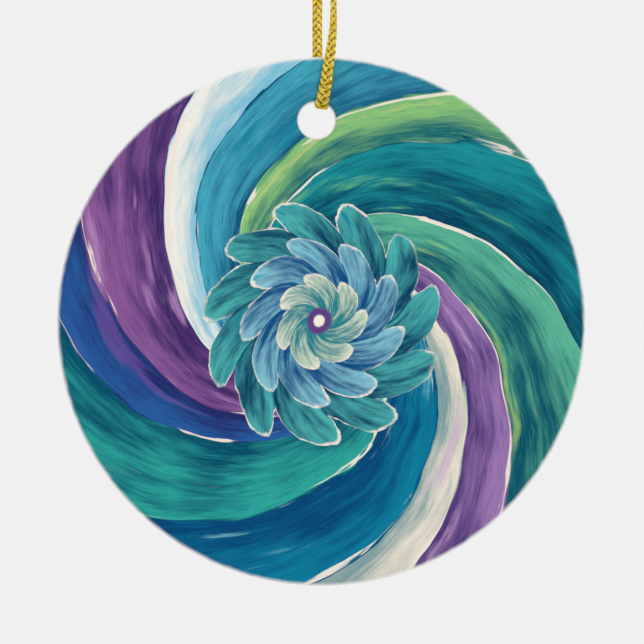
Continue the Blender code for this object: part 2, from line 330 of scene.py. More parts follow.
# The flower in its middle, from the outer ring of petals in: petals, reach as a share of the
# disc, sideways sweep, shaded side, lit side, odd strokes.
PETALS = [
    (11, 0.46, 0.16, paint(0, 58, 92), paint(76, 176, 172), paint(0, 116, 144)),
    (9, 0.315, 0.20, paint(4, 72, 124), paint(134, 194, 208), paint(44, 148, 170)),
    (7, 0.175, 0.24, paint(28, 122, 134), paint(214, 222, 196), paint(140, 188, 122)),
]
CREAM = paint(236, 230, 214)
CREAM_PINK = paint(232, 214, 206)
DAB = paint(176, 214, 202)
EYE = paint(92, 62, 128)


def smooth_route(keys, steps):
    """Points of one smooth curve through the keys, with so many steps for each stretch."""
    points = [keys[0]]
    last = len(keys) - 1
    for i in range(last):
        a, b, c, d = keys[max(i - 1, 0)], keys[i], keys[i + 1], keys[min(i + 2, last)]
        for k in range(1, steps + 1):
            t = k / steps
            bend = (2 * a - 5 * b + 4 * c - d) * t**2 + (3 * b - a - 3 * c + d) * t**3
            points.append((2 * b + (c - a) * t + bend) / 2)
    return np.array(points)


def value_at(table, where):
    """A value read from a table of (place, value) pairs, level past both its ends."""
    if where <= table[0][0]:
        return table[0][1]
    for (low, before), (high, after) in zip(table, table[1:]):
        if where <= high:
            share = (where - low) / (high - low)
            return before + (after - before) * share * share * (3 - 2 * share)
    return table[-1][1]


def bend_over_hole():
    from_wall = CORD_CLEARANCE + CORD_THICKNESS / 2
    sideways = HOLE_OFFSET * math.sin(HANG_TILT)
    return math.sqrt((HOLE_RADIUS - from_wall) ** 2 - sideways**2)


def turn_at(height, side):
    """How far the broad side is turned away from the front, in radians. Side -1 is the front."""
    slope = math.atan2(HOLE_OFFSET * math.sin(HANG_TILT), bend_over_hole())
    on_wall = LIES_ALONG * math.degrees(slope)
    rest = REAR_TWIST if side > 0 else FRONT_TWIST
    return math.radians(value_at([(0.0, on_wall), *rest], (height - MOUTH_BEND) / RUN_HEIGHT))


def beside_disc(turn):
    reach = math.hypot(CORD_THICKNESS * math.cos(turn), CORD_WIDTH * math.sin(turn)) / 2
    return HALF_THICKNESS + CORD_CLEARANCE + reach


def run_keys(run, side):
    """The route's points of one run, from the bend up to the knot."""
    keys = []
    for sideways, share in run:
        height = MOUTH_BEND + share * RUN_HEIGHT
        beside = beside_disc(turn_at(height, side))
        depth = value_at([(PARALLEL_SHARE, beside), (1.0, MEETING_DEPTH)], share)
        keys.append((sideways, side * depth, height))
    keys.append((0.0, side * MEETING_DEPTH, LOOP_DROP - CORD_CLEARANCE))
    return [np.array(key) for key in keys]


def bend_keys():
    """The bend through the hole, between the two runs, leaning over to meet each."""
    corner = beside_disc(turn_at(0.0, 0)) - MOUTH_BEND
    keys = []
    for side, run in ((-1, FRONT_RUN), (1, REAR_RUN)):
        part = []
        for degrees in (30, 60, 90):
            angle = math.radians(degrees)
            lift = 1 - math.sin(angle)
            depth = corner + MOUTH_BEND * math.cos(angle)
            part.append(np.array((run[0][0] * lift, side * depth, MOUTH_BEND * lift)))
        keys += part if side < 0 else part[::-1]
    return keys


def seated(points):
    """The loop's points, moved straight onto the rounded ceramic near its lowest bend."""
    edge = CORD_CLEARANCE + CORD_THICKNESS / 2 + MOUTH_ROUND - LOOP_DROP
    beside = np.sign(points[:, 1]) * np.maximum(np.abs(points[:, 1]) + MOUTH_ROUND - HALF_THICKNESS, 0)
    past = np.stack([beside, np.minimum(points[:, 2] - edge, 0)], axis=-1)
    reach = np.maximum(np.linalg.norm(past, axis=-1), MOUTH_ROUND)
    wanted = SEATED_IN_HOLE + (SEATED_ON_FACE - SEATED_IN_HOLE) * (beside / reach) ** 2
    near = eased(1 - (points[:, 2] + LOOP_DROP) / SEAT_REACH)
    move = near * np.maximum(reach - MOUTH_ROUND - wanted, 0) / reach
    points[:, 1:] -= move[:, None] * past
    return points


def loop_points():
    """The cord's middle from the knot down the front, through the hole and up the back."""
    keys = run_keys(FRONT_RUN, -1)[::-1] + bend_keys() + run_keys(REAR_RUN, 1)
    return seated(smooth_route(keys, LOOP_STEPS) - np.array((0.0, 0.0, LOOP_DROP)))


def knot_points():
    """The middle of the doubled cord through the knot, from the loop up to the tails."""
    half = [np.array(point) * KNOT_PITCH for point in HALF_KNOT]
    turned = [p * np.array((1, -1, -1)) for p in reversed(half)]
    return smooth_route(half + turned, KNOT_STEPS) + np.array((0.0, 0.0, KNOT_HALF_HEIGHT))


def tail_points(side):
    """A cut end's way up out of the knot. Side -1 is the left one."""
    start = 2 * KNOT_HALF_HEIGHT - math.sqrt(CORD_WIDTH * CORD_THICKNESS)
    spread = side * TAIL_SPREAD
    return [np.array((spread * x, spread * y, start + TAIL_LENGTH * z)) for x, y, z in TAIL_WAY]


def eased(share):
    share = np.clip(share, 0.0, 1.0)
    return share * share * (3 - 2 * share)


def unit(vectors):
    return vectors / np.linalg.norm(vectors, axis=-1, keepdims=True)


def travelled(points):
    """How far along a line each of its points lies."""
    return np.concatenate([[0.0], np.cumsum(np.linalg.norm(np.diff(points, axis=0), axis=1))])


def evenly(points, step):
    """The same line, or table of values along it, with its rows about a step apart."""
    along = travelled(points[:, :3])
    where = np.linspace(0, along[-1], round(along[-1] / step) + 1)
    return np.column_stack([np.interp(where, along, column) for column in points.T])


def softened(points, times):
    points = points.copy()
    for _ in range(times):
        points[1:-1] = points[1:-1] / 2 + (points[:-2] + points[2:]) / 4
    return points


def carried(start, tangents):
    """A direction carried along a line without turning about it."""
    found = [start]
    for tangent in tangents[1:]:
        last = found[-1] - tangent * found[-1].dot(tangent)
        found.append(last / np.linalg.norm(last))
    return np.array(found)


def loop_stretch():
    """The loop's points and its broad direction at each: flat in the hole, twisted above."""
    points = evenly(loop_points(), RING_STEP)
    tangents = unit(np.gradient(points, axis=0))
    across = unit(np.array((1.0, 0.0, 0.0)) - tangents[:, :1] * tangents)
    turns = np.array([turn_at(z + LOOP_DROP, math.copysign(1, y)) for _, y, z in points])[:, None]
    return points, np.cos(turns) * across + np.sin(turns) * np.cross(tangents, across)


def knot_strands():
    """The two stretches of the doubled cord, front first: points and broad directions.

    They lie flat on each other through the knot, and end one to the left of the other.
    """
    middle = evenly(knot_points(), RING_STEP)
    tangents = unit(np.gradient(middle, axis=0))
    stacked = carried(np.array((0.0, 1.0, 0.0)), tangents)
    sideways = np.cross(tangents, stacked)
    angle = math.atan2(sideways[-1][0], stacked[-1][0])
    if abs(angle) > math.pi / 2:
        angle -= math.copysign(math.pi, angle)
    along = travelled(middle)[:, None]
    turn = angle * eased(along / along[-1])
    stacked = np.cos(turn) * stacked + np.sin(turn) * sideways
    closer = KNOT_SQUEEZE * CORD_THICKNESS / 2 - MEETING_DEPTH
    apart = MEETING_DEPTH + closer * eased(along / CLOSES_OVER)
    broad = np.cross(tangents, stacked)
    return [with_tail(middle - apart * stacked, broad), with_tail(middle + apart * stacked, broad)]


def with_tail(points, broad):
    """The line goes on smoothly to the cut end above the knot."""
    side = math.copysign(1, points[-1][0])
    kept = (len(points) - 1) // TAIL_STEPS * TAIL_STEPS
    fine = smooth_route(list(points[: kept + 1 : TAIL_STEPS]) + tail_points(side), TAIL_STEPS)
    tail = carried(broad[kept], unit(np.gradient(fine, axis=0))[kept:])
    return fine, np.vstack([broad[:kept], tail])


class Cord:
    """The whole cord from cut end to cut end, as even rings with their axes and sizes.

    The loop runs from ring first to ring last, and the knot and its tails are the rest.
    """

    def __init__(self):
        loop, broad = loop_stretch()
        (front, front_broad), (rear, rear_broad) = knot_strands()
        front_broad = front_broad * np.sign(front_broad[0].dot(broad[0]))
        rear_broad = rear_broad * np.sign(rear_broad[0].dot(broad[-1]))
        lines = np.vstack([front[::-1], loop, rear])
        along = travelled(lines)
        self.first = round(along[len(front)] / RING_STEP)
        self.last = round(along[len(front) + len(loop) - 1] / RING_STEP)
        even = evenly(np.hstack([lines, np.vstack([front_broad[::-1], broad, rear_broad])]), RING_STEP)
        self.points = softened(even[:, :3], SMOOTHINGS)
        tangents = unit(np.gradient(self.points, axis=0))
        across = even[:, 3:] - (even[:, 3:] * tangents).sum(1, keepdims=True) * tangents
        self.broad = unit(across)
        self.thick = np.cross(tangents, self.broad)
        self.along = travelled(self.points)
        self.size_rings()

    def size_rings(self):
        """Squeezed in the knot, broader and flatter on the ceramic, splayed where it is cut."""
        along = self.along
        past_loop = -np.minimum(along - along[self.first], along[self.last] - along)
        from_end = np.minimum(along, along[-1] - along)
        in_knot = eased((past_loop - SQUEEZED_FROM) / SQUEEZED_OVER)
        in_knot = in_knot * eased((from_end - TAIL_FREE) / SQUEEZED_OVER)
        squeezed = 1 - (1 - KNOT_SQUEEZE) * in_knot
        height = self.points[:, 2] + LOOP_DROP
        on_ceramic = eased(1 - height / FLAT_REACH)
        splay = 1 + SPLAY * eased(1 - from_end / SPLAY_LENGTH)
        self.wide = squeezed * (1 + BROADER * on_ceramic) * splay
        self.high = squeezed * (1 - FLATTER * on_ceramic) * splay
        self.thread = squeezed


def oval(wide, high, places):
    """Points and outward directions of an oval at shares of its way round from its right end."""
    angle = np.linspace(0, 2 * math.pi, OVAL_STEPS)
    x, y = wide * np.cos(angle), high * np.sin(angle)
    way = np.concatenate([[0.0], np.cumsum(np.hypot(np.diff(x), np.diff(y)))])
    at = np.interp(np.mod(places, 1.0) * way[-1], way, angle)
    point = np.stack([wide * np.cos(at), high * np.sin(at)], axis=-1)
    return point, unit(np.stack([np.cos(at) / wide, np.sin(at) / high], axis=-1))


def weave_height(way, strand, along):
    """How far a strand lies above or below the braid's middle layer, from -1 to 1."""
    crossing = 2 * STRANDS * way * along / LAY + 2 * strand
    swing = np.cos(math.pi / STAYS_OVER * (crossing - (STAYS_OVER - 1) / 2))
    return way * np.tanh(WEAVE_STEEPNESS * swing)


def wander(along, chance):
    """A small uneven drift along a thread, about -1 to 1."""
    starts = [along / (length * MM) + chance.random() for length in DRIFT_WAVES]
    return sum(np.sin(2 * math.pi * start) for start in starts) / 2


class Thread:
    """One thread of the braid over the whole cord: its line, frame, how deep it lies and the painted
    shade that goes with it.
    """

    def __init__(self, cord, way, strand, beside, chance):
        along = cord.along
        aside = beside * THREAD_SPACING + THREAD_DRIFT * wander(along, chance)
        place = way * along / LAY + strand / STRANDS + aside + BRAID_TURN
        wide, high = CORD_WIDTH / 2 - LAYER_REACH, CORD_THICKNESS / 2 - LAYER_REACH
        point, out = oval(wide, high, place)
        height = weave_height(way, strand, along + way * LAY * aside / 2)
        lift = WEAVE_DEPTH * height - STRAND_CROWN * abs(beside) + THREAD_LIFT * wander(along, chance)
        flat = point * np.column_stack([cord.wide, cord.high]) + lift[:, None] * out
        self.line = cord.points + flat[:, :1] * cord.broad + flat[:, 1:] * cord.thick
        self.out = out[:, :1] * cord.broad + out[:, 1:] * cord.thick
        self.width, self.height = THREAD_WIDTH * cord.thread, THREAD_HEIGHT * cord.thread
        # Painted shade: darker where the thread dips under the weave and on a strand's outer threads
        self.painted_shade = (1 - height) / 2 + STRAND_SHADE * abs(beside)
        self.tone = chance.random()
        self.cuts = chance.integers(*THREAD_CUTS, 2)


class CoreYarn:
    """One of the dull yarns that lie side by side inside the braid."""

    def __init__(self, cord, beside, chance):
        inside = LAYER_REACH + WEAVE_DEPTH + THREAD_HEIGHT / 2
        room = np.array((CORD_WIDTH, CORD_THICKNESS)) - 2 * inside
        place = 2 * beside / CORE_YARNS
        self.line = cord.points + (place * room[0] / 2 * cord.wide)[:, None] * cord.broad
        self.out = cord.thick
        self.width = CORE_SWELL * room[0] / CORE_YARNS * cord.wide
        self.height = room[1] * math.sqrt(1 - CORE_ROUND * place**2) * cord.high
        # Painted shade: the core yarn counts as wholly in shade
        self.painted_shade = np.ones(len(self.line))
        self.tone = chance.random()
        self.cuts = chance.integers(*CORE_CUTS, 2)


def tube_points(yarn, turns):
    """Points of an oval tube round a yarn: for each direction round it, one at each ring."""
    tangents = unit(np.gradient(yarn.line, axis=0))
    side = unit(np.cross(yarn.out, tangents))
    up = np.cross(tangents, side)
    turns = turns[:, None, None]
    ring = np.cos(turns) * yarn.width[:, None] / 2 * side
    ring = ring + np.sin(turns) * yarn.height[:, None] / 2 * up
    return yarn.line + ring


class Shape:
    """Points, faces and values of a piece that is made of closed tubes."""

    def __init__(self):
        self.points, self.faces, self.maps, self.places, self.values, self.slots = [], [], [], [], [], []
        self.count = self.strips = 0

    def tube(self, yarn, first, last, sides, slot=0, every=1):
        """Adds a stretch of a yarn between two of its rings, as one closed tube."""
        some = np.append(np.arange(first, last, every), last)
        rows = len(some) - 1
        turns = 2 * math.pi * np.arange(sides) / sides
        points = tube_points(yarn, turns)[:, some].transpose(1, 0, 2)
        self.points.append(points.reshape(-1, 3))
        # Painted shade of the yarn, darker still on each thread's underside
        painted_shade = yarn.painted_shade[some, None] + UNDERSIDE_SHADE * (1 - np.sin(turns)) / 2
        self.values.append(np.stack([painted_shade, np.full_like(painted_shade, yarn.tone)], axis=-1).reshape(-1, 2))
        start = self.count + np.arange(rows)[:, None] * sides
        a, b = np.arange(sides), (np.arange(sides) + 1) % sides
        quads = np.stack([start + a, start + b, start + b + sides, start + a + sides], axis=-1)
        final = self.count + rows * sides
        self.faces += quads.reshape(-1, 4).tolist()
        self.faces.append([self.count + k for k in reversed(range(sides))])
        self.faces.append([final + k for k in range(sides)])
        self.slots += [slot] * (rows * sides + 2)
        self.count += (rows + 1) * sides
        self.map_yarn(travelled(yarn.line)[some] / MM, sides)
        self.lay_out(rows, sides)

    def map_yarn(self, along, sides):
        """Maps the last tube by the share of its way round and by millimetres along it."""
        near, far = np.repeat(along[:-1], sides), np.repeat(along[1:], sides)
        left = np.tile(np.arange(sides) / sides, len(along) - 1)
        right = left + 1 / sides
        corners = np.stack([left, near, right, near, right, far, left, far], axis=-1)
        self.maps.append(corners.reshape(-1, 2))
        self.maps.append(np.tile((0.5, along[0]), (sides, 1)))
        self.maps.append(np.tile((0.5, along[-1]), (sides, 1)))

    def lay_out(self, rows, sides):
        """Puts the last tube on the bake map, as long strips with its two ends beside them."""
        row, side = np.divmod(np.arange(rows * sides), sides)
        length = -(-rows // TUBE_STRIPS)
        strip, place = np.divmod(row, length)
        near = STRIP_START + STRIP_LENGTH * place / length
        far = STRIP_START + STRIP_LENGTH * (place + 1) / length
        high = self.strips + strip + STRIP_TOP - STRIP_HEIGHT * side / sides
        low = high - STRIP_HEIGHT / sides
        corners = np.stack([near, high, near, low, far, low, far, high], axis=-1)
        self.places.append(corners.reshape(-1, 2))
        turns = 2 * math.pi * np.arange(sides) / sides
        for middle in END_PLACES:
            x = middle + END_SIZE[0] * np.cos(turns)
            y = self.strips + 0.5 + END_SIZE[1] * np.sin(turns)
            self.places.append(np.column_stack([x, y]))
        self.strips += TUBE_STRIPS

    def build(self, name, materials):
        mesh = bpy.data.meshes.new(name)
        mesh.from_pydata(np.concatenate(self.points).tolist(), [], self.faces)
        for material in materials:
            mesh.materials.append(material)
        mesh.polygons.foreach_set("material_index", self.slots)
        places = np.concatenate(self.places) / (1.0, self.strips)
        for label, places in (("yarn", np.concatenate(self.maps)), ("OFBake", places)):
            mesh.uv_layers.new(name=label).data.foreach_set("uv", places.ravel())
        values = np.concatenate(self.values).astype(np.float32)
        # The painted shade and the random tone of each point, for the gold's shader
        for label, column in (("painted_shade", 0), ("tone", 1)):
            attribute = mesh.attributes.new(label, "FLOAT", "POINT")
            attribute.data.foreach_set("value", np.ascontiguousarray(values[:, column]))
        mesh.shade_smooth()
        mesh.update()
        return add_object(name, mesh)


def add_object(name, data):
    obj = bpy.data.objects.new(name, data)
    bpy.context.scene.collection.objects.link(obj)
    return obj


def braid_pieces(cord, materials):
    """The free cord, and its knot with the two cut ends, as two pieces of one braid."""
    chance = np.random.default_rng(YARN_SEED)
    loop, knot = Shape(), Shape()
    tip = len(cord.points) - 1
    for way in (1, -1):
        for strand in range(STRANDS):
            for beside in range(THREADS):
                thread = Thread(cord, way, strand, beside - (THREADS - 1) / 2, chance)
                loop.tube(thread, cord.first, cord.last, THREAD_SIDES)
                knot.tube(thread, int(thread.cuts[0]), cord.first, THREAD_SIDES)
                knot.tube(thread, cord.last, tip - int(thread.cuts[1]), THREAD_SIDES)
    for beside in range(CORE_YARNS):
        yarn = CoreYarn(cord, beside - (CORE_YARNS - 1) / 2, chance)
        loop.tube(yarn, cord.first, cord.last, CORE_SIDES, 1, CORE_STEP)
        knot.tube(yarn, int(yarn.cuts[0]), cord.first, CORE_SIDES, 1, CORE_STEP)
        knot.tube(yarn, cord.last, tip - int(yarn.cuts[1]), CORE_SIDES, 1, CORE_STEP)
    return loop.build("braided_cord", materials), knot.build("braided_knot", materials)


def make_cord():
    cord = Cord()
    loop, knot = braid_pieces(cord, [gold_thread(), dull_filling()])
    for piece, node in ((loop, "hanging_cord"), (knot, "cord_knot")):
        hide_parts(node)
    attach(knot, "hanger")
    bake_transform(loop)


def disc_ring(height, middle, radius):
    """A ring of the disc's surface, so far in front of its middle plane."""
    turns = 2 * math.pi * np.arange(DISC_STEPS) / DISC_STEPS
    x, z = radius * np.sin(turns), middle + radius * np.cos(turns)
    return np.column_stack([x, np.full(DISC_STEPS, -height), z])


def front_rings():
    """Rings from the middle of the bore over the front to the middle of the rim.

    On the face they grow from the hole's mouth to the rim and slide to the middle.
    """
    rings = [disc_ring(0.0, HOLE_OFFSET, HOLE_RADIUS)]
    for angle in np.radians(np.linspace(0, 90, ROUND_STEPS + 1)):
        height = HALF_THICKNESS - MOUTH_ROUND * (1 - math.sin(angle))
        rings.append(disc_ring(height, HOLE_OFFSET, HOLE_RADIUS + MOUTH_ROUND * (1 - math.cos(angle))))
    inner, outer = HOLE_RADIUS + MOUTH_ROUND, DISC_RADIUS - RIM_ROUND
    for share in np.linspace(0, 1, FACE_STEPS + 1)[1:-1] ** FACE_CROWDING:
        radius = inner + (outer - inner) * share
        rings.append(disc_ring(HALF_THICKNESS, HOLE_OFFSET * (1 - share), radius))
    for angle in np.radians(np.linspace(90, 0, ROUND_STEPS + 1)):
        height = HALF_THICKNESS - RIM_ROUND * (1 - math.sin(angle))
        rings.append(disc_ring(height, 0.0, DISC_RADIUS - RIM_ROUND * (1 - math.cos(angle))))
    return rings + [disc_ring(0.0, 0.0, DISC_RADIUS)]


def bake_places(rings, ring, step):
    """Where each face corner lies on the bake map: the printed front takes most of it."""
    count = len(rings)
    front = count // 2
    x, _, z = np.moveaxis(rings[ring % count, step % DISC_STEPS], -1, 0) / DISC_RADIUS
    row = ring[..., :1]
    band = BAND_START + BAND_LENGTH * step / DISC_STEPS
    from_bore = np.where(ring > front, ring - count, ring)
    right, up, size = FRONT_PLACE
    places = np.stack([right + size * x, up + size * z], axis=-1)
    right, up, size = BACK_PLACE
    back = np.stack([right - size * x, up + size * z], axis=-1)
    rim = np.stack([band, RIM_BAND + BAND_HEIGHT * (ring - front)], axis=-1)
    bore = np.stack([band, BORE_BAND + BAND_HEIGHT * from_bore], axis=-1)
    places = np.where((row > front)[..., None], back, places)
    places = np.where(((row == front) | (row == front - 1))[..., None], rim, places)
    return np.where(((row == 0) | (row == count - 1))[..., None], bore, places)


def glazed_disc(materials):
    """The disc as one closed skin of quads, from the bore over both faces and the rim.

    The second material covers the front up to where its rounded edges end.
    """
    front = front_rings()
    rings = np.array(front + [ring * np.array((1, -1, 1)) for ring in front[-2:0:-1]])
    count = len(rings)
    i, j = np.meshgrid(np.arange(count), np.arange(DISC_STEPS), indexing="ij")
    ring = np.stack([i, i, i + 1, i + 1], axis=-1)
    step = np.stack([j, j + 1, j + 1, j], axis=-1)
    tilt = np.array(Matrix.Rotation(-HANG_TILT, 3, "Y"))
    mesh = bpy.data.meshes.new("glazed_disc")
    faces = (ring % count) * DISC_STEPS + step % DISC_STEPS
    mesh.from_pydata((rings.reshape(-1, 3) @ tilt.T).tolist(), [], faces.reshape(-1, 4).tolist())
    layer = mesh.uv_layers.new(name="OFBake")
    layer.data.foreach_set("uv", bake_places(rings, ring, step).ravel())
    for material in materials:
        mesh.materials.append(material)
    edge = -0.95 * (HALF_THICKNESS - RIM_ROUND)
    in_front = np.all(rings[ring % count, 0, 1] < edge, axis=-1)
    mesh.polygons.foreach_set("material_index", in_front.ravel().astype(np.int32))
    mesh.shade_smooth()
    mesh.update()
    disc = add_object("glazed_disc", mesh)
    disc.location = (0.0, 0.0, DISC_CENTRE)
    return disc


def make_disc():
    disc = glazed_disc([plain_glaze(), printed_glaze()])
    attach(disc, "ornament")
    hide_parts("ceramic_disc")


def make_camera():
    """Looks straight at the front, with the photograph's frame."""
    data = bpy.data.cameras.new("photo_view")
    data.sensor_width = SENSOR
    data.lens = SENSOR * CAMERA_AWAY / (PHOTO_SIDE * PIXEL)
    camera = add_object("photo_view", data)
    right = (PHOTO_SIDE / 2 - DISC_MIDDLE_PX[0]) * PIXEL
    up = (DISC_MIDDLE_PX[1] - PHOTO_SIDE / 2) * PIXEL
    camera.location = (right, -CAMERA_AWAY, DISC_CENTRE + up)
    camera.rotation_euler = (math.radians(90), 0.0, 0.0)
    bpy.context.scene.camera = camera


class Nodes:
    """Short ways to add shader nodes to one material or world, and to link them."""

    def __init__(self, owner):
        owner.use_nodes = True
        self.tree = owner.node_tree

    def add(self, kind, **settings):
        node = self.tree.nodes.new("ShaderNode" + kind)
        for name, value in settings.items():
            setattr(node, name, value)
        return node

    def feed(self, socket, value):
        if isinstance(value, bpy.types.NodeSocket):
            self.tree.links.new(value, socket)
        else:
            socket.default_value = value

    def math(self, operation, *values):
        node = self.add("Math", operation=operation)
        for socket, value in zip(node.inputs, values):
            self.feed(socket, value)
        return node.outputs[0]

    def spread(self, value, low, high, to_low=0.0, to_high=1.0):
        """The value, moved smoothly from the range low to high into another range."""
        node = self.add("MapRange", interpolation_type="SMOOTHSTEP")
        for socket, number in zip(node.inputs, (value, low, high, to_low, to_high)):
            self.feed(socket, number)
        return node.outputs[0]

    def point(self, x, y, z):
        node = self.add("CombineXYZ")
        for socket, value in zip(node.inputs, (x, y, z)):
            self.feed(socket, value)
        return node.outputs[0]

    def noise(self, place, scale, detail=2.0, roughness=0.5):
        node = self.add("TexNoise")
        self.feed(node.inputs["Vector"], place)
        self.feed(node.inputs["Scale"], scale)
        node.inputs["Detail"].default_value = detail
        node.inputs["Roughness"].default_value = roughness
        return node.outputs["Fac"]

    def ramp(self, value, stops, interpolation="LINEAR"):
        node = self.add("ValToRGB")
        self.feed(node.inputs[0], value)
        ramp = node.color_ramp
        ramp.interpolation = interpolation
        while len(ramp.elements) < len(stops):
            ramp.elements.new(1.0)
        for element, (place, colour) in zip(ramp.elements, stops):
            element.position = place
            element.color = (*colour, 1.0)
        return node.outputs[0]

    def mix(self, share, first, second):
        node = self.add("Mix", data_type="RGBA")
        self.feed(node.inputs["Factor"], share)
        for name, value in (("A", first), ("B", second)):
            socket = [found for found in node.inputs if found.name == name and found.type == "RGBA"][0]
            self.feed(socket, value if isinstance(value, bpy.types.NodeSocket) else (*value, 1.0))
        return [found for found in node.outputs if found.type == "RGBA"][0]

    def bump(self, height):
        node = self.add("Bump")
        node.inputs["Distance"].default_value = 1.0
        node.inputs["Strength"].default_value = BUMP_STRENGTH
        self.feed(node.inputs["Height"], height)
        return node.outputs[0]

    def attribute(self, name):
        return self.add("Attribute", attribute_name=name).outputs["Fac"]


def new_material(name):
    material = bpy.data.materials.new(name)
    nodes = Nodes(material)
    return material, nodes, nodes.tree.nodes["Principled BSDF"].inputs


def gold_thread():
    """Metallic yarn: foil tones with painted glints, and a painted shade of deep brown where it dips."""
    material, nodes, shader = new_material("gold_thread")
    place = nodes.add("UVMap", uv_map="yarn").outputs[0]
    split = nodes.add("SeparateXYZ")
    nodes.feed(split.inputs[0], place)
    around, along = split.outputs[0], split.outputs[1]
    tone = nodes.attribute("tone")
    painted_shade = nodes.attribute("painted_shade")
    slant = nodes.math("MULTIPLY_ADD", around, FOIL_SLANT, along)
    shifted = nodes.math("MULTIPLY", tone, 60.0)
    marks = nodes.point(nodes.math("MULTIPLY", slant, FOIL_MARKS), shifted, 0.0)
    foil_glint_noise = nodes.noise(marks, 1.0, 3.0, 0.6)
    slow = nodes.noise(nodes.point(nodes.math("MULTIPLY", along, WARM_MARKS), shifted, 5.0), 1.0)
    # Painted glints: the foil's brightest tones stand for light caught on it
    foil_with_glints = nodes.ramp(foil_glint_noise, GOLD_FOIL_GLINTS)
    warm = nodes.mix(nodes.spread(slow, *WARM_COVER), foil_with_glints, GOLD_WARM)
    # Painted shade: deep brown where the yarn dips and on a strand's outer threads
    colour = nodes.mix(nodes.spread(painted_shade, *PAINTED_SHADE_COVER), warm, GOLD_PAINTED_SHADE)
    nodes.feed(shader["Base Color"], colour)
    shader["Metallic"].default_value = GOLD_METALLIC
    shader["Specular IOR Level"].default_value = GOLD_SPECULAR
    shader["Specular Tint"].default_value = (*GOLD_EDGE, 1.0)
    nodes.feed(shader["Roughness"], nodes.spread(foil_glint_noise, *GOLD_ROUGHNESS))
    return material


def dull_filling():
    """The core yarns, which show only in the cut ends."""
    material, nodes, shader = new_material("gold_filling")
    place = nodes.add("TexCoord").outputs["Object"]
    grain = nodes.noise(place, FILLING_NOISE, 3.0)
    nodes.feed(shader["Base Color"], nodes.mix(grain, FILLING_DARK, FILLING_LIGHT))
    shader["Roughness"].default_value = FILLING_ROUGHNESS
    shader["Specular IOR Level"].default_value = FILLING_SPECULAR
    return material


def band_stops(values):
    """Stops of a ramp that holds one value over each arm."""
    starts = np.cumsum([0.0] + [arm[0] for arm in ARMS[:-1]])
    return list(zip(starts.tolist(), values))


def swept(nodes, radius, angle, sweep):
    """The angle in turns, wound up towards the middle as a brush stroke sweeps."""
    deep = nodes.math("LOGARITHM", nodes.math("ADD", radius, SWEEP_CORE), math.e)
    return nodes.math("MULTIPLY_ADD", deep, sweep, angle)


def strokes(nodes, radius, turn, brush, further=0):
    """Long streaks that follow the sweep: fine across it and drawn out along it."""
    across, along, seed = brush
    circle = nodes.math("MULTIPLY", turn, 2 * math.pi)
    x = nodes.math("MULTIPLY", nodes.math("COSINE", circle), across)
    y = nodes.math("MULTIPLY", nodes.math("SINE", circle), across)
    deep = nodes.math("LOGARITHM", nodes.math("ADD", radius, STROKE_CORE), math.e)
    z = nodes.math("MULTIPLY_ADD", deep, along, seed + further)
    return nodes.noise(nodes.point(x, y, z), 1.0, 3.0, 0.6)


def weighed(nodes, *terms):
    """A sum of values, each less a half and times its weight; a plain number is added as it is."""
    total = 0.0
    for term in terms:
        if isinstance(term, tuple):
            value, weight = term
            total = nodes.math("ADD", nodes.math("MULTIPLY_ADD", value, weight, -weight / 2), total)
        else:
            total = nodes.math("ADD", term, total)
    return total


def dabbed(nodes, colour, thickness, cover, other):
    """The colour, with another paint over it where that is thick enough."""
    low, high, most = cover
    return nodes.mix(nodes.spread(thickness, low, high, 0.0, most), colour, other)


def arm_paints(nodes, phase):
    """The dark, light and odd paint of the arm at this place round the pinwheel."""
    tables = [band_stops([arm[k] for arm in ARMS]) for k in (1, 2, 3)]
    return [nodes.ramp(phase, table, "CONSTANT") for table in tables]


def across_arm(nodes, phase):
    """How far across its arm a place lies, from 0 to 1."""
    stops = []
    for start, arm in zip([start for start, _ in band_stops(ARMS)], ARMS):
        stops += [(start, (0.0,) * 3), (start + arm[0] - 0.001, (1.0,) * 3)]
    return nodes.ramp(phase, stops)


def near_arm_edge(nodes, phase):
    """1 at the edge where an arm ends, 0 a little before and after it."""
    rises, peaks, falls = ARM_EDGE
    stops = []
    for end in [start for start, _ in band_stops(ARMS)][1:] + [1.0]:
        stops += [(end - rises, (0.0,) * 3), (end - peaks, (1.0,) * 3), (end + falls, (0.0,) * 3)]
    return nodes.ramp(phase, stops[:-1])


def painted_arms(nodes, radius, angle, slow):
    """The pinwheel's sweeping arms, each brushed from its shaded to its lit side."""
    turn = swept(nodes, radius, angle, ARM_SWEEP)
    brushes = (ARM_BROAD, ARM_DABS, ARM_FINE, ARM_BRISTLES, ARM_PATCH, ARM_GLOW, ARM_DEEP, ARM_LINE)
    made = [strokes(nodes, radius, turn, brush) for brush in brushes]
    broad, dabs, fine, bristles, patch, glow, deep, wanted = made
    phase = nodes.math("FRACT", weighed(nodes, turn, (broad, 0.05), (dabs, 0.012), (fine, 0.003)))
    dark, light, odd = arm_paints(nodes, phase)
    local = nodes.math("MULTIPLY", across_arm(nodes, phase), 0.95)
    share = weighed(nodes, local, (dabs, 1.7), (fine, 0.5), (slow, 1.2))
    colour = nodes.mix(nodes.spread(share, *ARM_LIT), dark, light)
    patch = weighed(nodes, 0.0, (patch, 1.0), (fine, 0.18), (dabs, 0.5))
    colour = dabbed(nodes, colour, patch, ARM_ODD, odd)
    glow = weighed(nodes, 0.0, (glow, 1.0), (fine, 0.28), (dabs, -0.4))
    colour = dabbed(nodes, colour, glow, GLOW_COVER, DAB)
    deep = weighed(nodes, 0.0, (deep, 1.0), (fine, 0.2), (dabs, -0.3))
    colour = dabbed(nodes, colour, deep, SHADE_COVER, dark)
    colour = dabbed(nodes, colour, bristles, LIGHT_BRISTLES, light)
    colour = dabbed(nodes, colour, bristles, DARK_BRISTLES, dark)
    near = nodes.math("MULTIPLY_ADD", near_arm_edge(nodes, phase), 0.9, -0.68)
    line = weighed(nodes, near, (wanted, 1.7), (fine, 0.35))
    cream = nodes.mix(slow, CREAM, CREAM_PINK)
    return dabbed(nodes, colour, line, CREAM_LINE, cream), dabs, fine


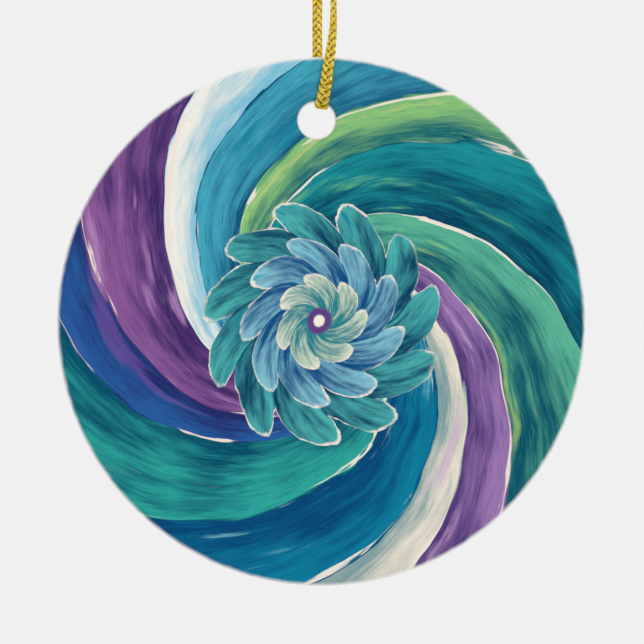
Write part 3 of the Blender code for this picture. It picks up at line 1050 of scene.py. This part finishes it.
def painted_petals(nodes, below, radius, angle, slow, layer):
    """One ring of overlapping petals over what is below it, each with a cream edge."""
    count, reach, sweep, dark, light, odd = layer
    turn = swept(nodes, radius, angle, -sweep)
    brushes = (PETAL_FINE, PETAL_STREAK, PETAL_DAB)
    fine, streak, dab = [strokes(nodes, radius, turn, brush, count) for brush in brushes]
    uneven = weighed(nodes, turn, (streak, 0.014), (dab, 0.02))
    saw = nodes.math("FRACT", nodes.math("MULTIPLY", uneven, count))
    side = nodes.math("ABSOLUTE", nodes.math("MULTIPLY_ADD", saw, 2.0, -1.0))
    pointed = nodes.math("POWER", side, PETAL_POWER)
    round_end = nodes.math("MULTIPLY_ADD", pointed, -PETAL_ROUND * reach, reach)
    from_end = nodes.math("SUBTRACT", round_end, radius)
    inside = weighed(nodes, from_end, (dab, 0.05 * reach), (fine, 0.006))
    out = nodes.math("MULTIPLY_ADD", radius, 0.8 / reach, -0.42)
    lit = nodes.math("MULTIPLY_ADD", saw, 0.5, out)
    share = weighed(nodes, lit, (streak, 1.5), (dab, 0.8), (fine, 0.4))
    colour = nodes.mix(nodes.spread(share, *PETAL_LIT), dark, light)
    patch = weighed(nodes, 0.0, (dab, 1.3), (streak, 0.7), (fine, 0.2))
    colour = dabbed(nodes, colour, patch, PETAL_ODD, odd)
    crease = weighed(nodes, side, (fine, 0.12), (streak, 0.1))
    colour = dabbed(nodes, colour, crease, PETAL_CREASE, dark)
    rim = weighed(nodes, inside, (fine, 0.014), (slow, 0.03), (streak, 0.024))
    thick = nodes.spread(dab, *CREAM_THICKNESS)
    edge = nodes.math("MULTIPLY", nodes.spread(rim, *PETAL_CREAM), thick)
    colour = nodes.mix(edge, colour, nodes.mix(slow, CREAM, CREAM_PINK))
    return nodes.mix(nodes.spread(inside, *PETAL_EDGE), below, colour)


def printed_colour(nodes, place):
    """The painted pinwheel, and how far the brush's relief stands up."""
    drift = nodes.add("TexNoise")
    nodes.feed(drift.inputs["Vector"], place)
    drift.inputs["Scale"].default_value = DRIFT_SCALE
    moved = nodes.add("VectorMath", operation="MULTIPLY_ADD")
    nodes.feed(moved.inputs[0], drift.outputs["Color"])
    moved.inputs[1].default_value = (DRIFT_REACH,) * 3
    nodes.feed(moved.inputs[2], place)
    split = nodes.add("SeparateXYZ")
    nodes.feed(split.inputs[0], moved.outputs[0])
    scale, less = 1 / DISC_RADIUS, -DRIFT_MEAN / DISC_RADIUS
    x, z = [nodes.math("MULTIPLY_ADD", split.outputs[k], scale, less) for k in (0, 2)]
    radius = from_centre(nodes, x, z)
    angle = nodes.math("DIVIDE", nodes.math("ARCTAN2", z, x), 2 * math.pi)
    slow = nodes.noise(place, SLOW_NOISE)
    colour, dabs, fine = painted_arms(nodes, radius, angle, slow)
    for layer in PETALS:
        colour = painted_petals(nodes, colour, radius, angle, slow, layer)
    eye = nodes.math("MULTIPLY_ADD", fine, 0.02, radius)
    colour = nodes.mix(nodes.spread(eye, *EYE_EDGE), colour, EYE)
    colour = nodes.mix(nodes.spread(eye, *EYE_SPOT), colour, CREAM)
    return colour, nodes.math("ADD", dabs, fine)


def from_centre(nodes, x, z):
    return nodes.math("SQRT", nodes.math("MULTIPLY_ADD", x, x, nodes.math("MULTIPLY", z, z)))


def print_cover(nodes, place):
    """1 where the front is printed: not on the rim's edge, in the hole or on the back."""
    split = nodes.add("SeparateXYZ")
    nodes.feed(split.inputs[0], place)
    x, y, z = split.outputs
    grain = nodes.math("SUBTRACT", nodes.noise(place, RIM_NOISE), 0.5)
    uneven = nodes.math("MULTIPLY_ADD", grain, RIM_GRAIN, from_centre(nodes, x, z))
    cover = nodes.spread(uneven, *RIM_PRINT, 1.0, 0.0)
    beside = nodes.math("SUBTRACT", x, -HOLE_OFFSET * math.sin(HANG_TILT))
    above = nodes.math("SUBTRACT", z, HOLE_OFFSET * math.cos(HANG_TILT))
    round_hole = nodes.spread(from_centre(nodes, beside, above), *HOLE_PRINT)
    cover = nodes.math("MULTIPLY", cover, round_hole)
    return nodes.math("MULTIPLY", cover, nodes.spread(y, *EDGE_PRINT))


def white_glaze(nodes, place):
    """The glaze's colour, with a few pores, and its cloudy unevenness."""
    cloud = nodes.noise(place, CLOUD_NOISE, 3.0)
    speck = nodes.noise(place, PORE_NOISE, 1.0)
    glaze = nodes.mix(cloud, GLAZE_COOL, GLAZE_WARM)
    return dabbed(nodes, glaze, speck, GLAZE_PORES, GLAZE_SPECK), cloud


def plain_glaze():
    """Glossy white glaze of the rim, the bore and the back."""
    material, nodes, shader = new_material("plain_glaze")
    place = nodes.add("TexCoord").outputs["Object"]
    glaze, cloud = white_glaze(nodes, place)
    nodes.feed(shader["Base Color"], glaze)
    rough = nodes.math("MULTIPLY_ADD", cloud, CLOUDS_ROUGHEN, GLAZE_ROUGHNESS)
    nodes.feed(shader["Roughness"], rough)
    ripple = nodes.math("MULTIPLY", nodes.noise(place, RIPPLE_NOISE, 1.0), GLAZE_RIPPLE)
    nodes.feed(shader["Normal"], nodes.bump(ripple))
    return material


def printed_glaze():
    """The front: a painted pinwheel fired on the white glaze, and less glossy than it."""
    material, nodes, shader = new_material("printed_glaze")
    place = nodes.add("TexCoord").outputs["Object"]
    cover = print_cover(nodes, place)
    print_paint, relief = printed_colour(nodes, place)
    glaze, cloud = white_glaze(nodes, place)
    nodes.feed(shader["Base Color"], nodes.mix(cover, glaze, print_paint))
    rough = nodes.math("MULTIPLY_ADD", cloud, CLOUDS_ROUGHEN, GLAZE_ROUGHNESS)
    nodes.feed(shader["Roughness"], nodes.math("MULTIPLY_ADD", cover, PRINT_ROUGHENS, rough))
    shader["Specular IOR Level"].default_value = PRINT_SPECULAR
    brushed = nodes.math("MULTIPLY", nodes.math("MULTIPLY", relief, cover), BRUSH_RELIEF)
    waves = nodes.noise(place, RIPPLE_NOISE, 1.0)
    ripple = nodes.math("MULTIPLY_ADD", waves, GLAZE_RIPPLE, brushed)
    nodes.feed(shader["Normal"], nodes.bump(ripple))
    return material


def make_stage():
    """A pale floor far below the ornament, which hangs free."""
    mesh = bpy.data.meshes.new("floor")
    turns = 2 * math.pi * np.arange(FLOOR_SIDES) / FLOOR_SIDES
    points = [(FLOOR_RADIUS * math.cos(a), FLOOR_RADIUS * math.sin(a), FLOOR_HEIGHT) for a in turns]
    mesh.from_pydata(points, [], [list(range(len(points)))])
    material, nodes, shader = new_material("pale_floor")
    place = nodes.add("TexCoord").outputs["Object"]
    grain = nodes.noise(place, FLOOR_NOISE, 3.0)
    nodes.feed(shader["Base Color"], nodes.mix(grain, FLOOR_DARKER, FLOOR_LIGHTER))
    shader["Roughness"].default_value = FLOOR_ROUGHNESS
    mesh.materials.append(material)
    add_object("floor", mesh)


def make_world():
    """Even light from all round, and a pale ground behind the ornament and in its gloss."""
    world = bpy.data.worlds.new("pale")
    bpy.context.scene.world = world
    nodes = Nodes(world)
    lit = nodes.tree.nodes["Background"]
    lit.inputs["Color"].default_value = (1, 1, 1, 1)
    lit.inputs["Strength"].default_value = AROUND_LEVEL
    seen = nodes.add("Background")
    seen.inputs["Color"].default_value = (PALE, PALE, PALE, 1)
    rays = nodes.add("LightPath").outputs
    direct = nodes.math("MAXIMUM", rays["Is Camera Ray"], rays["Is Glossy Ray"])
    mix = nodes.add("MixShader")
    nodes.feed(mix.inputs[0], nodes.math("MAXIMUM", direct, rays["Is Transmission Ray"]))
    nodes.feed(mix.inputs[1], lit.outputs[0])
    nodes.feed(mix.inputs[2], seen.outputs[0])
    nodes.feed(nodes.tree.nodes["World Output"].inputs["Surface"], mix.outputs[0])


def make_lamp(name, towards, strength, softness):
    """A broad, even lamp that shines from this direction."""
    data = bpy.data.lights.new(name, "SUN")
    data.energy = strength
    data.angle = math.radians(softness)
    lamp = add_object(name, data)
    lamp.location = Vector(towards)
    lamp.rotation_euler = Vector(towards).to_track_quat("Z", "Y").to_euler()


make_camera()
make_cord()
make_disc()
make_stage()
make_world()
make_lamp("key", *KEY_LAMP)
make_lamp("fill", *FILL_LAMP)
bpy.context.scene.view_settings.view_transform = "Standard"
